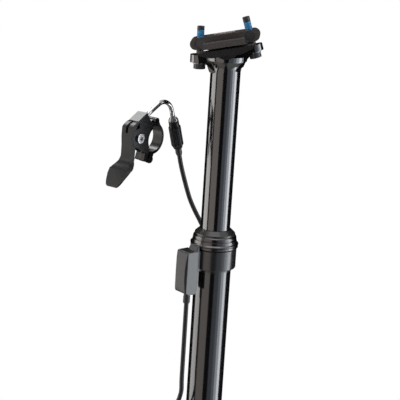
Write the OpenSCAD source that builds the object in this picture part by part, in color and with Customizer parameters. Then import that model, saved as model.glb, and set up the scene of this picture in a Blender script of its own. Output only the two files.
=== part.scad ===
// Dropper seatpost with a bar remote, in millimetres.
// +Z runs up the post, -X points to the front, and the origin lies on the post axis
// at the underside of the collar, where the post stops against the frame.

/* [Post] */
// Outside diameter of the outer tube
outer_d = 31.6; // [31:0.1:34.9]
// Wall of the outer tube
outer_wall = 1.6; // [1.5:0.1:1.7]
// Outside diameter of the stanchion
stanchion_d = 25.4; // [25:0.1:25.6]
// Wall of the stanchion
stanchion_wall = 1.8; // [1.5:0.1:2]
// Length from the foot of the post to the saddle rails
post_length = 400; // [390:1:440]
// Drop of the saddle
travel = 125; // [100:1:130]
// Free stanchion left under the neck when the saddle is down
bump_gap = 3.2; // [3:0.1:8]

/* [Collar] */
// Radius of the collar sleeve
sleeve_r = 19.5; // [19.3:0.1:20]
// Height of the collar sleeve
sleeve_h = 20; // [19:0.1:21]
// Greatest radius of the collar nut
nut_r = 20.8; // [20.4:0.1:21.5]
// Height of the collar nut
nut_h = 11; // [10.5:0.1:13]
// Height of the wiper seal above the nut
wiper_h = 4.8; // [4:0.1:6]
// Direction of the cable pod around the post
pod_angle = 212; // [200:1:220]

/* [Cable pod] */
// Width of the pod cover
pod_w = 15; // [14:0.1:17]
// Distance of the cable from the post axis
cable_r = 27.2; // [26.8:0.1:28]
// Greatest distance of the pod cover from the post axis
pod_reach = 36.2; // [35.5:0.1:37]
// Wall of the pod cover
pod_wall = 1.6; // [1.2:0.1:2]
// Bell crank pivot from the post axis
crank_pivot_r = 18.2; // [18:0.1:18.6]
// Bell crank pivot above the collar underside
crank_z = 7.5; // [7:0.1:8]

/* [Head] */
// Forward slope of the saddle clamp against the post
head_tilt = 12.5; // [0:0.5:16]
// Turn of the head around the post, as the photo shows it
head_yaw = -11; // [-15:1:15]
// Height of the rails above the neck of the stanchion
head_h = 30.8; // [30:0.1:34]
// Spacing of the saddle rails
rail_spacing = 44; // [42:0.5:46]
// Diameter of the saddle rails
rail_d = 7; // [6.5:0.1:8]
// Front bolt seat ahead of the rail centre
front_seat_x = 25.4; // [25:0.1:26]
// Front bolt seat below the rail centre
front_seat_z = 11.6; // [11:0.1:12]
// Inward lean of the front bolt
front_lean = 11.3; // [10:0.1:12]
// Rear bolt seat behind the rail centre
rear_seat_x = 21.3; // [21:0.1:22]
// Rear bolt seat below the rail centre
rear_seat_z = 9.5; // [9:0.1:10]
// Inward lean of the rear bolt
rear_lean = 5.4; // [5:0.1:7]
// Thread diameter of the clamp bolts
bolt_d = 6; // [5:0.5:6]
// Length of the upper rail channels
yoke_len = 42; // [36:0.5:44]
// Length of the lower rail channels
cradle_len = 48; // [44:0.5:50]

/* [Remote] */
// Diameter of the handlebar
bar_d = 22.2; // [22.2:0.1:25.4]
// Wall of the bar clamp
band_wall = 2.4; // [2.2:0.1:4]
// Width of the remote bracket
bracket_w = 10.2; // [10:0.1:12]
// Lever pivot, outwards from the bar centre
pivot_p = 23.6; // [23.4:0.1:27]
// Lever pivot above the bar centre
pivot_h = 3.8; // [3:0.1:5]
// Radius at which the lever pulls the wire
drum_r = 9; // [8.8:0.1:9.4]
// Outer radius of the lever head
lever_head_r = 14.5; // [14:0.1:15]
// Stroke of the lever in degrees
lever_stroke = 20; // [12:1:22]

/* [Cable] */
// Diameter of the cable housing
housing_d = 4; // [3.8:0.1:4.2]
// Diameter of the inner wire
wire_d = 1.2; // [1.1:0.1:1.6]
// Loops in each layer of the stored coil
coil_turns = 3.25; // [2.25:1:3.25]

/* [Hidden] */
$fn = 64;

// Clearances: a fixed fit, a running fit and free room beside a moving piece
fit = 0.03;
run = 0.05;
room = 0.3;
over = 1;

// Heights along the post
sleeve_gap = 0.6;
nut_z = sleeve_h + sleeve_gap;
nut_top = nut_z + nut_h;
wiper_top = nut_top + wiper_h + room;
neck_z = wiper_top + travel + bump_gap;
rail_z = neck_z + head_h;
post_bottom = rail_z - post_length;
cap_flange = 2;
tube_bottom = post_bottom + cap_flange;
tube_top = nut_z + 0.58 * nut_h;
spigot_top = tube_top - 0.6;
cap_top = tube_bottom + 16;
bridge_t = 4;
stanchion_bottom = cap_top + travel + 3;
overlap = tube_top - stanchion_bottom;

// Radii of the post
outer_r = outer_d / 2;
bore_r = outer_r - outer_wall;
stanchion_r = stanchion_d / 2;
stanchion_bore = stanchion_r - stanchion_wall;
tube_chamfer = 0.8;
collar_seat_r = outer_r - 0.2;
spigot_r = collar_seat_r + 0.38 * (nut_r - collar_seat_r);
nut_seat_r = spigot_r + run;
wiper_seat_r = stanchion_r + 0.55 * (nut_seat_r - stanchion_r);
lip_t = 1.6;

// Guide keys and the grooves that they run in
key_w = 3.6;
key_h = 12;
key_sink = 0.6;
key_reach = 0.55;
groove_depth = key_reach + 0.15;
bushing_h = 0.21 * overlap;
upper_bushing_h = 0.33 * overlap;
key_z = stanchion_bottom + bushing_h + 0.07 * overlap;
key_angles = [60, 180, 300];

// Bell crank, pull strip and foot rocker
crank_w = 3.8;
crank_t = 2.2;
crank_slot = crank_w + 2 * 0.4;
crank_arm = cable_r - crank_pivot_r;
wire_pull = drum_r * lever_stroke * PI / 180;
crank_half = atan(wire_pull / 2 / crank_arm);
pin_d = 3;
hub_r = 3.2;
strip_w = 6.5;
strip_gap = 0.35;
strip_in = stanchion_r + strip_gap;
strip_out = bore_r - strip_gap;
finger_r = stanchion_r + 0.45;
finger_len = crank_pivot_r - finger_r;
finger_low = crank_z - finger_len * sin(crank_half);
window_z = crank_z - 3.2;
window_h = 6.4;
bushing_slot = strip_w + 2;
rocker_pivot = -7;
rocker_z = tube_bottom + 6;
rocker_t = 3;
rocker_w = 5;
rocker_end = bore_r - 2;
hook_t = 1.2;
hook_top = rocker_z - rocker_t / 2 - room;
nipple_d = 4;
nipple_z = crank_z + wire_pull / 2;

// Gas cartridge
rod_d = 9;
rod_stud_d = 6;
valve_d = 3;
cartridge_r = stanchion_bore - 0.9;
cartridge_wall = 1.5;
ring_h = 5;
seal_h = 10;
seal_z = stanchion_bottom + ring_h;
piston_z = seal_z + seal_h + 2;
piston_h = 8;
blind_z = neck_z - 6;
cartridge_top = blind_z - 4.4;
cap_h = 8;

// Pod cover
pod_top = 22.5;
pod_bottom = -17.8;
pod_inner = 22.6;
neck_w = 11;
arm_w = 8;
arm_top = 13.4;
arm_reach = 22.4;
ferrule_d = 5.4;
ferrule_low = pod_bottom - 9.2;

// Saddle clamp, measured from the rail centre in the tilted head
tilt_z = 1;
seat_r = 12;
ear_r = 8;
front_ear_t = 6.5;
rear_ear_t = 5.6;
head_half_w = 9;
jaw_gap = 0.9;
jaw_wall = 2;
jaw_half_w = rail_d / 2 + jaw_wall;
nut_d = 8;
nut_len = 14;
nut_at_z = 4.5;
tab_r = nut_d / 2 + 0.9;
tab_out = 3.4;
bolt_slack = 0.4;
bolt_head_d = 10;
bolt_head_h = 4.5;
washer_t = 1;
bolt_tip_z = 18.1;
rear_bolt_extra = 2.1;
flare_up = 7.5;
flare_r = 13;
flare_h = 10;
rim_top = rail_z - 9.4;

// Values for one bolt: side is -1 in front and 1 behind
function seat_x(side) = side < 0 ? -front_seat_x : rear_seat_x;
function seat_z(side) = side < 0 ? -front_seat_z : -rear_seat_z;
function lean(side) = side < 0 ? front_lean : rear_lean;
function ear_t(side) = side < 0 ? front_ear_t : rear_ear_t;
function nut_up(side) = (nut_at_z - seat_z(side)) / cos(lean(side));
function nut_x(side) = seat_x(side) - side * nut_up(side) * sin(lean(side));

// Remote, in its own frame: local x outwards past the bar, local -y towards the near side
remote_pos = [-57, 11, 111];
remote_turn = 45;
bar_r = bar_d / 2;
band_r = bar_r + band_wall;
band_w = 10;
cable_rise = 27;
hinge_angle = 76;
hinge_r = band_r + 1.6;
knuckle_r = 2.8;
hinge_d = 2.5;
split_angle = 250;
ring_y = 4;
split_gap = 2;
lug_reach = 9;
lug_t = 4.5;
clamp_bolt_d = 4;
clamp_head_d = 7;
cheek_t = 2;
lever_w = bracket_w + 0.8;
hub_w = bracket_w - 2 * cheek_t - 0.5;
pivot_d = 5;
bush_d = 7.4;
pivot_head_d = 8.5;
pivot_head_h = 2.2;
drum_start = 102.5;
hood_angle = drum_start - 1.6;
nose_angle = 86;
nose_r = 11.9;
hood_r = nose_r + 0.5;
hub_out = 6.6;
cheek_r = 8.6;
cheek_cut = cheek_r + 0.6;
nipple_angle = 90 + cable_rise - lever_stroke / 2;
remote_nipple_d = 4;
lever_slot_w = 2.4;
noodle_d = 3.8;
noodle_bore = 2.4;
noodle_leg = 14.8;
noodle_bend = 13;
noodle_turn = 98;
noodle_tail = 12.6;
noodle_sink = 10;
noodle_sides = 16;
cup_d = 8.6;
cup_h = 3.4;
barrel_d = 9;
barrel_grip_d = 10.8;
barrel_len = 23.5;
boot_d = 5.8;
boot_len = 7;

// Points of the pivot, the wire and the noodle in the remote's frame
pivot = [-pivot_p, pivot_h];
wire_dir = [cos(cable_rise), sin(cable_rise)];
wire_tangent = pivot + drum_r * [-sin(cable_rise), cos(cable_rise)];
nipple_ahead = drum_r * tan(90 + cable_rise - nipple_angle);
nipple_at = wire_tangent + nipple_ahead * wire_dir;
noodle_along = 22.5;
noodle_start = wire_tangent + noodle_along * wire_dir;

// Route of the housing: from the pod down to the coil, and from the coil up to the adjuster
drop_points = [
  [-23, -14.4, ferrule_low + 1], [-23, -14.4, -60], [-23, -14.4, -95], [-23, -14.4, -110], [-27, -8.5, -124],
  [-38.5, 8, -139], [-50, 24.3, -153], [-53.4, 29.2, -160], [-54, 30, -167]
];
rise_points = [
  [8, 34.6, -167], [8, 34.6, -158], [8, 34.6, -100], [8, 34.6, -50], [7.5, 35, -15], [5, 37, 3], [-1, 39.5, 18],
  [-7.2, 41.4, 30.3], [-13.1, 42.4, 40.9], [-18.3, 42.6, 51.9], [-23.9, 41.6, 68.4], [-27.98, 40, 82.2],
  [-29.94, 38.06, 90.23], [-33.63, 34.37, 105.36]
];
coil_centre = [-23, 30, -171];
coil_r = 31;
coil_step = housing_d + 0.5;
coil_layer = housing_d + 0.6;
rings_per_loop = 24;
coil_sides = 6;
cord_sides = 10;

// Small shapes

module tube(ro, ri, z0, z1) {
  translate([0, 0, z0]) difference() {
    cylinder(r = ro, h = z1 - z0);
    translate([0, 0, -over]) cylinder(r = ri, h = z1 - z0 + 2 * over);
  }
}

// A solid between two heights
module rod(r, z0, z1) {
  translate([0, 0, z0]) cylinder(r = r, h = z1 - z0);
}

// A side profile in x and z, drawn out between two values of y
module plate(y0, y1) {
  translate([0, y1, 0]) rotate([90, 0, 0]) linear_extrude(y1 - y0) children();
}

// A round bar along y
module cross_rod(r, y0, y1) {
  translate([0, y0, 0]) rotate([-90, 0, 0]) cylinder(r = r, h = y1 - y0);
}

module pod_frame() {
  rotate([0, 0, pod_angle]) children();
}

module head_frame() {
  translate([0, 0, rail_z]) rotate([0, 0, head_yaw]) rotate([0, -head_tilt, 0]) children();
}

// Bolt axis in the head frame: z runs up the bolt from its seat under the ear
module bolt_axis(side) {
  translate([seat_x(side), 0, seat_z(side)]) rotate([0, -side * lean(side), 0]) children();
}

module bolt_frame(side) {
  head_frame() bolt_axis(side) children();
}

module remote_frame() {
  translate(remote_pos) rotate([0, 0, remote_turn]) children();
}

// The bar ring's own plane, behind the lever
module ring_frame() {
  remote_frame() translate([0, ring_y, 0]) children();
}

// Frame at a point of the remote's side view, with x turned up by a heading
module remote_point(at, heading) {
  remote_frame() translate([at[0], 0, at[1]]) rotate([0, -heading, 0]) children();
}

module split_ring(ro, ri, z0, z1, slot) {
  difference() {
    tube(ro, ri, z0, z1);
    pod_frame() translate([0, -slot / 2, z0 - over]) cube([ro + over, slot, z1 - z0 + 2 * over]);
  }
}

// Points of an arc in the plane
function arc(centre, r, a0, a1, steps = 12) =
  [for (i = [0 : steps]) centre + r * [cos(a0 + (a1 - a0) * i / steps), sin(a0 + (a1 - a0) * i / steps)]];

// Outer post

module outer_tube() {
  color("#18181b") difference() {
    rotate_extrude() polygon([
      [bore_r, tube_bottom], [outer_r - tube_chamfer, tube_bottom], [outer_r, tube_bottom + tube_chamfer],
      [outer_r, 0], [collar_seat_r, 0], [collar_seat_r, tube_top], [bore_r, tube_top]
    ]);
    for (a = key_angles) rotate([0, 0, pod_angle + a])
      translate([0, -key_w / 2 - 0.2, cap_top - over])
        cube([bore_r + groove_depth, key_w + 0.4, key_z + key_h + 1.5 - cap_top + over]);
    pod_frame() translate([0, -crank_slot / 2, window_z]) cube([outer_r + over, crank_slot, window_h]);
  }
}

module bottom_cap() {
  pocket_w = rocker_w + 2 * 0.6;
  color("#303236") difference() {
    union() {
      rod(outer_r - 0.4, post_bottom, tube_bottom);
      rod(bore_r - fit, tube_bottom, cap_top);
    }
    pod_frame() {
      translate([rocker_pivot - 3.5, -pocket_w / 2, tube_bottom + 1.5])
        cube([2 * outer_r, pocket_w, cap_top - bridge_t - tube_bottom - 1.5]);
      translate([strip_in - 3 * room, -strip_w / 2 - room, tube_bottom + 1.5]) cube([outer_r,
        strip_w + 2 * room, 30]);
      translate([rocker_pivot, 0, rocker_z]) cross_rod(pin_d / 2 + fit, -bore_r, bore_r);
    }
    rod(rod_stud_d / 2 + fit, cap_top - bridge_t - over, cap_top + over);
  }
}

module rocker_pin() {
  color("#b8bcc2") pod_frame() translate([rocker_pivot, 0, rocker_z]) cross_rod(pin_d / 2, -10, 10);
}

module piston_rod() {
  color("#c9ccd1") difference() {
    union() {
      rod(rod_d / 2, cap_top, piston_z);
      rod(rod_stud_d / 2, cap_top - bridge_t, cap_top);
      rod(rod_stud_d / 2, piston_z, piston_z + piston_h);
    }
    rod(valve_d / 2 + run, cap_top - bridge_t - over, piston_z + piston_h - 2);
  }
}

module piston() {
  groove_z = piston_z + piston_h / 2;
  color("#8d9096") difference() {
    tube(cartridge_r - cartridge_wall - run, rod_stud_d / 2 + fit, piston_z, piston_z + piston_h);
    tube(cartridge_r, cartridge_r - cartridge_wall - 1.6, groove_z - 1.2, groove_z + 1.2);
  }
}

module piston_seal() {
  groove_z = piston_z + piston_h / 2;
  seal_r = cartridge_r - cartridge_wall - run;
  color("#202022") tube(seal_r, seal_r - 1.4, groove_z - 1, groove_z + 1);
}

module collar_sleeve() {
  foot_r = outer_r + 0.35;
  foot_h = 2.2;
  color("#202123") difference() {
    union() {
      rotate_extrude() polygon([
        [collar_seat_r + fit, 0], [foot_r, 0], [foot_r, foot_h], [sleeve_r - 0.6, foot_h + 0.5],
        [sleeve_r, foot_h + 1.2], [sleeve_r, sleeve_h - 0.4], [sleeve_r - 0.4, sleeve_h], [spigot_r, sleeve_h],
        [spigot_r, spigot_top], [collar_seat_r + fit, spigot_top]
      ]);
      pod_frame() intersection() {
        translate([outer_r + 1, -arm_w / 2, 1.2]) cube([arm_reach - outer_r - 1, arm_w, arm_top - 1.2]);
        rod(arm_reach, 0, sleeve_h);
      }
    }
    rod(collar_seat_r + fit, -over, sleeve_h);
    pod_frame() {
      translate([0, -crank_slot / 2, window_z - 0.9]) cube([arm_reach + over, crank_slot, window_h + 1.8]);
      translate([crank_pivot_r, 0, crank_z]) cross_rod(pin_d / 2 + fit, -arm_w / 2 - fit, arm_w / 2 + fit);
    }
  }
}

module crank_pin() {
  color("#b8bcc2") pod_frame() translate([crank_pivot_r, 0, crank_z]) cross_rod(pin_d / 2, -arm_w / 2,
    arm_w / 2);
}

module collar_nut() {
  lip_z = tube_top + room;
  wall = nut_r - nut_seat_r;
  color("#2a2a2d") rotate_extrude() polygon([
    [nut_seat_r, nut_z], [nut_r - 0.25 * wall, nut_z], [nut_r - 0.08 * wall, nut_z + 0.055 * nut_h],
    [nut_r - 0.08 * wall, nut_z + 0.21 * nut_h], [nut_r - 0.25 * wall, nut_z + 0.23 * nut_h],
    [nut_r - 0.25 * wall, nut_z + 0.255 * nut_h], [nut_r, nut_z + 0.28 * nut_h], [nut_r, nut_z + 0.335 * nut_h],
    [nut_r - 0.38 * wall, nut_z + 0.42 * nut_h], [nut_r - 0.56 * wall, nut_z + 0.64 * nut_h],
    [nut_r - 0.78 * wall, nut_z + 0.66 * nut_h], [nut_r - 0.78 * wall, nut_z + 0.72 * nut_h],
    [nut_r - 0.6 * wall, nut_z + 0.745 * nut_h], [nut_r - 0.7 * wall, nut_z + 0.89 * nut_h], [nut_seat_r, nut_top],
    [wiper_seat_r, nut_top], [wiper_seat_r, lip_z + lip_t], [stanchion_r + 0.5, lip_z + lip_t],
    [stanchion_r + 0.5, lip_z], [nut_seat_r, lip_z]
  ]);
}

module wiper_seal() {
  seat_z = tube_top + room + lip_t + fit;
  rim_r = nut_seat_r - 0.1;
  color("#151516") rotate_extrude() polygon([
    [stanchion_r + run, wiper_top - 0.8], [stanchion_r + run, wiper_top - 0.3], [stanchion_r + 0.35,
    wiper_top],
    [stanchion_r + 0.9, wiper_top], [rim_r - 0.3, nut_top + 0.37 * wiper_h], [rim_r,
    nut_top + 0.24 * wiper_h],
    [rim_r, nut_top + fit], [wiper_seat_r - fit, nut_top + fit], [wiper_seat_r - fit, seat_z],
    [stanchion_r + run, seat_z], [stanchion_r + run, seat_z + 0.8], [stanchion_r + 0.8, seat_z + 1.4],
    [stanchion_r + 0.8, wiper_top - 1.6]
  ]);
}

module upper_bushing() {
  color("#3b4a3f") split_ring(bore_r - fit, stanchion_r + run, tube_top - upper_bushing_h, tube_top - 0.2,
    bushing_slot);
}

// Cable pod

// Side outline of the pod's body: distance from the post axis and height
function pod_outline() = [
  [pod_inner, pod_top - 3], [pod_inner + 0.8, pod_top - 2], [pod_reach - 2.8, pod_top - 2.2],
  [pod_reach - 1.7, pod_top - 3.2], [pod_reach - 0.7, pod_top - 9], [pod_reach, 3], [pod_reach, -4],
  [pod_reach - 0.7, pod_bottom + 4], [pod_reach - 1.9, pod_bottom + 1.5], [cable_r + 4.4, pod_bottom + 0.3],
  [cable_r + 3.4, pod_bottom], [pod_inner + 2, pod_bottom], [pod_inner + 0.7, pod_bottom + 1.2],
  [pod_inner, pod_bottom + 5]
];

// Side outline of the narrower neck from the body to the collar
function pod_neck() = [
  [outer_r + 2, 1.5], [pod_inner + 1, 1.5], [pod_inner + 1, pod_top - 2.4], [nut_r + 2.2, pod_top - 0.6],
  [nut_r + 0.9, pod_top + 1.6], [outer_r + 2, pod_top + 1.8]
];

module pod_cover() {
  plan_r = 2.4;
  inner_w = pod_w - 2 * pod_wall;
  cave = pod_inner + 1.4;
  color("#3a3c3b") difference() {
    pod_frame() {
      intersection() {
        plate(-pod_w / 2, pod_w / 2) polygon(pod_outline());
        translate([0, 0, pod_bottom - over]) linear_extrude(pod_top - pod_bottom + 10) polygon(concat(
          [[0, -pod_w / 2]], arc([pod_reach - plan_r, plan_r - pod_w / 2], plan_r, -90, 0, 6),
          arc([pod_reach - plan_r, pod_w / 2 - plan_r], plan_r, 0, 90, 6), [[0, pod_w / 2]]
        ));
      }
      plate(-neck_w / 2, neck_w / 2) polygon(pod_neck());
    }
    rod(sleeve_r + room, -over, sleeve_h + room);
    rod(nut_r + room, sleeve_h, nut_top + 20);
    pod_frame() {
      translate([cave, -inner_w / 2, pod_bottom + 2.4])
        cube([pod_reach - cave - pod_wall - 1.2, inner_w, pod_top - 5.4 - pod_bottom - 2.4]);
      translate([0, -arm_w / 2 - fit, -over]) cube([cave + fit, arm_w + 2 * fit, arm_top + over + fit]);
      translate([cable_r, 0, 0]) {
        rod(ferrule_d / 2 + fit, pod_bottom - over, pod_bottom + 6);
        rod(ferrule_d / 2 + 0.8 + room, pod_bottom + 2.5 - fit, pod_bottom + 7);
      }
    }
  }
}

module pod_ferrule() {
  color("#1d1d1f") pod_frame() translate([cable_r, 0, 0]) difference() {
    union() {
      rod(ferrule_d / 2, ferrule_low, pod_bottom + 3.6);
      rod(ferrule_d / 2 + 0.8, pod_bottom + 2.5, pod_bottom + 4.6);
      for (i = [0 : 2]) rod(ferrule_d / 2 + 0.35, ferrule_low + 1 + 2 * i, ferrule_low + 2 + 2 * i);
    }
    rod(wire_d / 2 + room, ferrule_low - over, pod_bottom + 9);
    rod(housing_d / 2 + 0.1, ferrule_low - over, ferrule_low + 4);
  }
}

// Bell crank at its rest angle, with a fork for the wire nipple and a finger for the strip
module bell_crank() {
  fork_gap = nipple_d + 0.3;
  color("#9a9da3") pod_frame() translate([crank_pivot_r, 0, crank_z]) rotate([0, -crank_half,
    0]) difference() {
    union() {
      cross_rod(hub_r, -crank_w / 2, crank_w / 2);
      translate([-finger_len, -crank_w / 2, -crank_t / 2]) cube([finger_len, crank_w, crank_t]);
      translate([0, -crank_w / 2, -crank_t]) cube([crank_arm - 2, crank_w, 2 * crank_t]);
      translate([crank_arm - 4, -crank_w / 2, -fork_gap / 2 - 1.2]) cube([6.4, crank_w, fork_gap + 2.4]);
    }
    cross_rod(pin_d / 2 + run, -crank_w, crank_w);
    translate([crank_arm - nipple_d / 2 - 0.3, -crank_w, -fork_gap / 2]) cube([9, 2 * crank_w, fork_gap]);
    translate([crank_arm - 1.2, -wire_d / 2 - room, -6]) cube([9, wire_d + 2 * room, 6]);
  }
}

module pod_wire() {
  color("#c2c5ca") pod_frame() translate([cable_r, 0, 0]) {
    translate([0, 0, nipple_z]) cross_rod(nipple_d / 2, -crank_w / 2, crank_w / 2);
    rod(wire_d / 2, pod_bottom + 1, nipple_z);
  }
}

module pull_strip() {
  color("#aeb1b6") pod_frame() difference() {
    union() {
      intersection() {
        tube(strip_out, strip_in, hook_top - hook_t, finger_low + 5);
        translate([0, -strip_w / 2, hook_top - hook_t]) cube([bore_r, strip_w, 300]);
      }
      intersection() {
        rod(strip_out, hook_top - hook_t, hook_top);
        translate([rocker_end - 2, -rocker_w / 2, hook_top - hook_t]) cube([bore_r, rocker_w, hook_t]);
      }
    }
    translate([0, -crank_w / 2 - room, finger_low - crank_t / 2 - 2 * room])
      cube([bore_r, crank_w + 2 * room, crank_t + 4 * room]);
  }
}

module foot_rocker() {
  color("#9a9da3") pod_frame() translate([0, 0, rocker_z]) difference() {
    union() {
      translate([rocker_pivot, 0, 0]) cross_rod(3, -rocker_w / 2, rocker_w / 2);
      translate([rocker_pivot, -rocker_w / 2, -rocker_t / 2]) cube([rocker_end - rocker_pivot, rocker_w,
        rocker_t]);
    }
    translate([rocker_pivot, 0, 0]) cross_rod(pin_d / 2 + run, -rocker_w, rocker_w);
  }
}

module valve_pin() {
  tip = 2;
  low = rocker_z + rocker_t / 2 + room;
  color("#b8bcc2") union() {
    rod(valve_d / 2, low + tip, piston_z + 2);
    translate([0, 0, low]) cylinder(r1 = 0.5, r2 = valve_d / 2, h = tip);
  }
}

// Stanchion and what slides with it

// Tube and flared neck turned in one piece, with the stepped bore
function flare(h) = stanchion_r + flare_r - sqrt(flare_r * flare_r - h * h);

module turned_body() {
  bore_top = cartridge_top + 0.1;
  upper_bore = stanchion_bore - 1.6;
  rotate_extrude() polygon(concat(
    [[stanchion_bore, stanchion_bottom], [stanchion_r, stanchion_bottom]],
    [for (i = [0 : 12]) [flare(flare_h * i / 12), neck_z + flare_up + flare_h * i / 12]],
    [[flare(flare_h), rim_top], [0, rim_top], [0, blind_z], [upper_bore, blind_z], [upper_bore, bore_top], [stanchion_bore,
    bore_top]]
  ));
}

// Block under the barrel seat, with an ear for each bolt
module head_block() {
  head_frame() plate(-head_half_w, head_half_w) polygon([
    [-19.5, -5.4], [-20.3, -7.4], [-19, -14], [-18, -20], [-8, -25], [0, -25], [11, -19.8], [15, -13.5],
    [20.3, -6.8],
    [19.5, -5]
  ]);
  head_frame() plate(-ear_r, ear_r) polygon([
    [seat_x(-1), -5.5], [seat_x(-1), seat_z(-1) + 0.6], [-13, -17], [13, -16], [seat_x(1), seat_z(1) + 0.6],
    [seat_x(1), -4.4]
  ]);
  for (side = [-1, 1]) bolt_frame(side) rod(ear_r, 0, ear_t(side));
}

module stanchion() {
  color("#141416") difference() {
    union() {
      turned_body();
      head_block();
    }
    head_frame() translate([0, 0, tilt_z]) cross_rod(seat_r, -3 * head_half_w, 3 * head_half_w);
    for (side = [-1, 1]) bolt_frame(side) {
      rod(bolt_d / 2 + bolt_slack, -20, 20);
      rod(bolt_head_d / 2 + 1.6, -20, 0);
    }
    for (a = key_angles) rotate([0, 0, pod_angle + a])
      translate([stanchion_r - key_sink, -key_w / 2 - fit, key_z - fit]) cube([5, key_w + 2 * fit,
        key_h + 2 * fit]);
  }
}

module lower_bushing() {
  low = stanchion_bottom + 1.5;
  color("#4a5a50") split_ring(bore_r - run, stanchion_r + fit, low, low + bushing_h, bushing_slot);
}

module guide_keys() {
  color("#c8a24a") for (a = key_angles) rotate([0, 0, pod_angle + a]) intersection() {
    translate([stanchion_r - key_sink + fit, -key_w / 2, key_z]) cube([6, key_w, key_h]);
    rod(bore_r + key_reach, key_z, key_z + key_h);
  }
}

module cartridge_tube() {
  color("#a9acb2") tube(cartridge_r, cartridge_r - cartridge_wall, seal_z, cartridge_top);
}

module seal_head() {
  color("#6f7379") tube(cartridge_r - cartridge_wall - fit, rod_d / 2 + run, seal_z, seal_z + seal_h);
}

module cartridge_cap() {
  color("#6f7379") rod(cartridge_r - cartridge_wall - fit, cartridge_top - cap_h, cartridge_top);
}

module floating_piston() {
  top = cartridge_top - cap_h - 4;
  groove_z = top - 5;
  color("#7d8187") difference() {
    rod(cartridge_r - cartridge_wall - fit, top - 10, top);
    tube(cartridge_r, cartridge_r - cartridge_wall - 1.4, groove_z - 1, groove_z + 1);
  }
}

module retaining_ring() {
  color("#55585d") tube(stanchion_bore - fit, rod_d / 2 + 2, stanchion_bottom + 0.4, seal_z);
}

// Clamp bolt: socket head below, thread up through the barrel nut
module saddle_bolt(side, extra) {
  socket = 5 / cos(30);
  tip = (bolt_tip_z + extra - seat_z(side)) / cos(lean(side));
  color("#2b2e33") bolt_frame(side) difference() {
    union() {
      rod(bolt_d / 2, -washer_t - 1, tip);
      rod(bolt_head_d / 2, -washer_t - bolt_head_h, -washer_t);
    }
    translate([0, 0, -washer_t - bolt_head_h - over]) cylinder(d = socket, h = 3 + over, $fn = 6);
  }
}

module front_bolt() {
  saddle_bolt(-1, 0);
}

module rear_bolt() {
  saddle_bolt(1, rear_bolt_extra);
}

module bolt_washers() {
  color("#8d9096") for (side = [-1, 1]) bolt_frame(side) tube(bolt_head_d / 2 + 0.8, bolt_d / 2 + 0.2,
    -washer_t, 0);
}

// Saddle clamp

// Rail channels on both sides, cut by the rails
module rail_cuts(length) {
  for (side = [-1, 1]) translate([-length, side * rail_spacing / 2, 0]) rotate([0, 90, 0])
    cylinder(d = rail_d, h = 2 * length);
}

module lower_cradle() {
  half = cradle_len / 2;
  outer_y = rail_spacing / 2 + jaw_half_w;
  inner_y = rail_spacing / 2 - jaw_half_w;
  color("#18181a") head_frame() difference() {
    union() {
      intersection() {
        translate([0, 0, tilt_z]) cross_rod(seat_r - run, -inner_y - 1, inner_y + 1);
        plate(-inner_y - 1, inner_y + 1) translate([-seat_r, -seat_r * 2]) square([2 * seat_r,
          2 * seat_r - 3]);
      }
      for (side = [-1, 1]) plate(side > 0 ? inner_y : -outer_y, side > 0 ? outer_y : -inner_y) polygon([
        [-half, -jaw_gap], [half, -jaw_gap], [half, -2.6], [half - 5, -4.6], [half - 11, -6.6], [11 - half,
        -6.6],
        [5 - half, -4.6], [-half, -2.6]
      ]);
    }
    rail_cuts(cradle_len);
  }
}

module upper_yoke() {
  half = yoke_len / 2;
  outer_y = rail_spacing / 2 + jaw_half_w;
  inner_y = rail_spacing / 2 - jaw_half_w;
  top = rail_d / 2 + jaw_wall;
  tab_half = nut_len / 2 + 1;
  slot_x = bolt_d / 2 + 1.3;
  slot_y = bolt_d / 2 + 0.5;
  bridge_x = 13;
  pocket = 10;
  pocket_w = 9;
  color("#1b1b1d") head_frame() difference() {
    union() {
      for (side = [-1, 1]) plate(side > 0 ? inner_y : -outer_y, side > 0 ? outer_y : -inner_y) polygon([
        [-half, jaw_gap], [half, jaw_gap], [half, top - 1], [half - 1, top], [1 - half, top], [-half, top - 1]
      ]);
      plate(-inner_y - 0.5, inner_y + 0.5) polygon([
        [-bridge_x, 1.4], [bridge_x, 1.4], [bridge_x, top - 1], [-bridge_x, top - 1]
      ]);
      plate(-tab_half, tab_half) hull() for (side = [-1, 1])
        translate([nut_x(side) + side * tab_out, nut_at_z]) circle(r = tab_r);
    }
    rail_cuts(cradle_len);
    for (side = [-1, 1]) {
      translate([nut_x(side), 0, nut_at_z]) cross_rod(nut_d / 2 + run, -2 * nut_len, 2 * nut_len);
      bolt_axis(side) translate([-slot_x, -slot_y, ear_t(side)]) cube([2 * slot_x, 2 * slot_y, 4 * nut_d]);
    }
    translate([-pocket, -pocket_w / 2, nut_at_z + tab_r - 2.4]) cube([1.75 * pocket, pocket_w, pocket]);
  }
}

module barrel_nut(side) {
  color("#9a9da3") bolt_frame(side) difference() {
    translate([0, 0, nut_up(side)]) cross_rod(nut_d / 2, -nut_len / 2, nut_len / 2);
    rod(bolt_d / 2 + bolt_slack, 0, 2 * nut_up(side));
  }
}

module front_barrel_nut() {
  barrel_nut(-1);
}

module rear_barrel_nut() {
  barrel_nut(1);
}

// Remote

// Side outline of the bracket: a hood over the lever's nose, and a web to the bar ring
module bracket_block() {
  top_back = pivot + [8.4, 20.8];
  polygon(concat(
    [top_back, pivot + [-2.8, 14.6]], arc(pivot, hood_r, hood_angle, nose_angle - 2, 6),
    arc(pivot, cheek_r, nose_angle - 2, 0, 8),
    [[-bar_r + 2, -2], [-6, bar_r + 1], top_back + [4, -6]]
  ));
}

module bracket_cheek() {
  polygon(concat(
    arc(pivot, cheek_r, 100, 262, 14), [[-bar_r - 1, -bar_r], [-8, 0], [-8, 14]], [pivot + [0.6, cheek_r]]
  ));
}

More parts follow.
